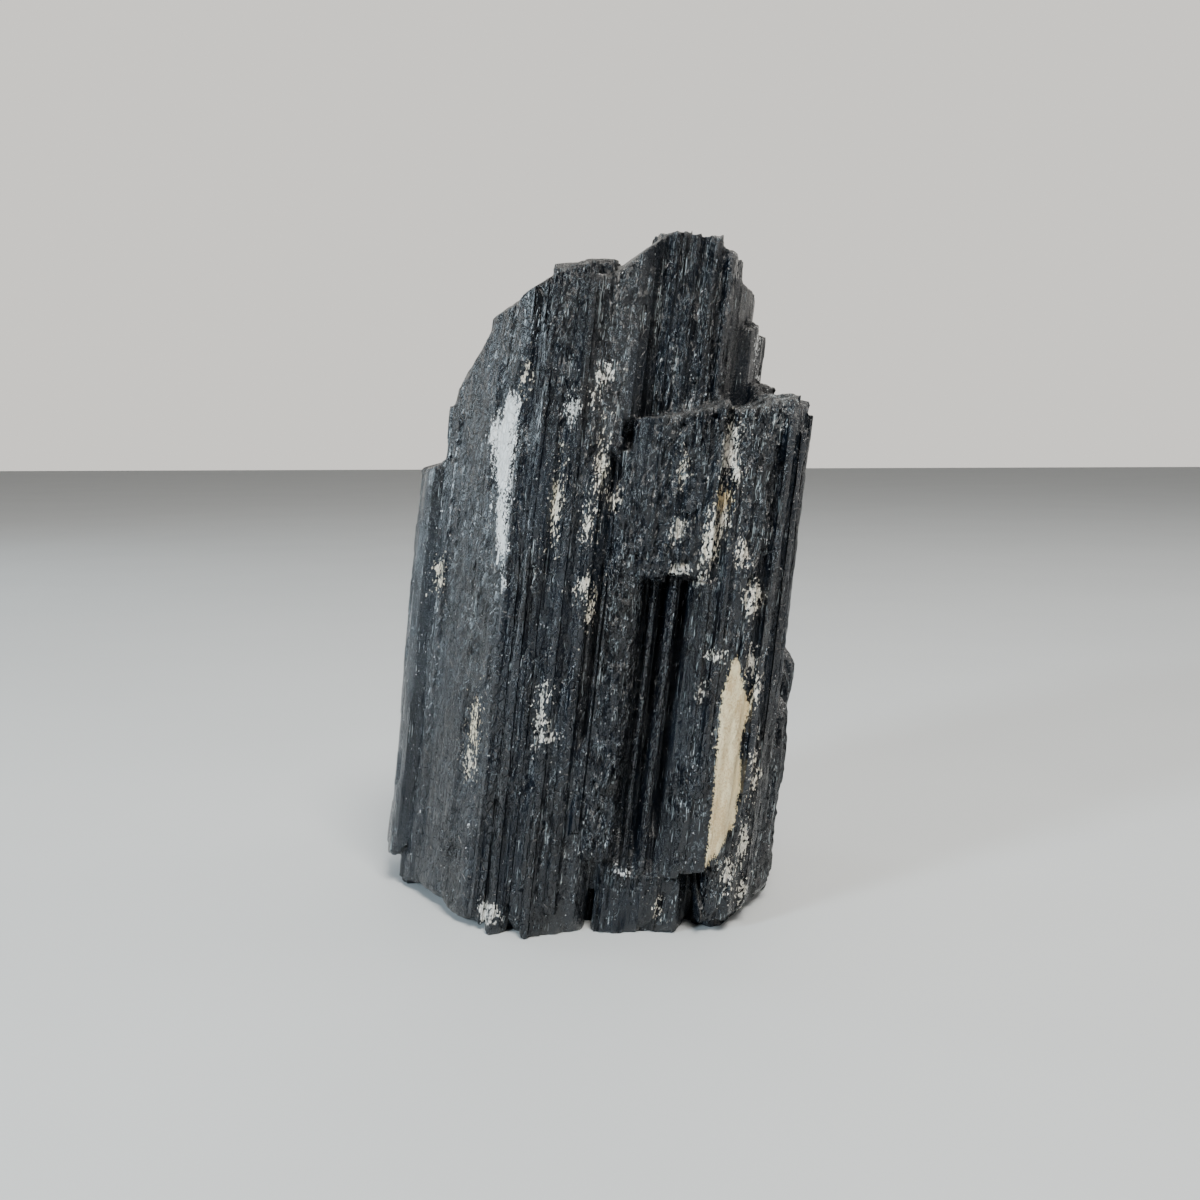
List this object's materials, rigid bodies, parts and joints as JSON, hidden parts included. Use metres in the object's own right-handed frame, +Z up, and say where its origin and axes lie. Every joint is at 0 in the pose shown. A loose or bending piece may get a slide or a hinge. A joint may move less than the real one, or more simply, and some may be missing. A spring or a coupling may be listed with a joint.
{
  "type": "raw black tourmaline",
  "caption": "Raw black tourmaline crystal bundle, broken off in steps, with striated faces and a flat foot that it stands on.",
  "frame": {"origin": "middle of the stone's box seen from above, at the surface it stands on", "axes": "+Z up, nearly along the crystals, which lean a little towards +X; -Y is the face that is shown, with the stepped front block and the vein"},
  "size_m": [0.0976, 0.0882, 0.1454],
  "materials": {
    "tourmaline": "black, glassy to dull, striated along the crystals, with pale dust and a cream feldspar vein"
  },
  "bodies": {
    "root": {"tourmaline": "tourmaline"}
  },
  "joints": []
}
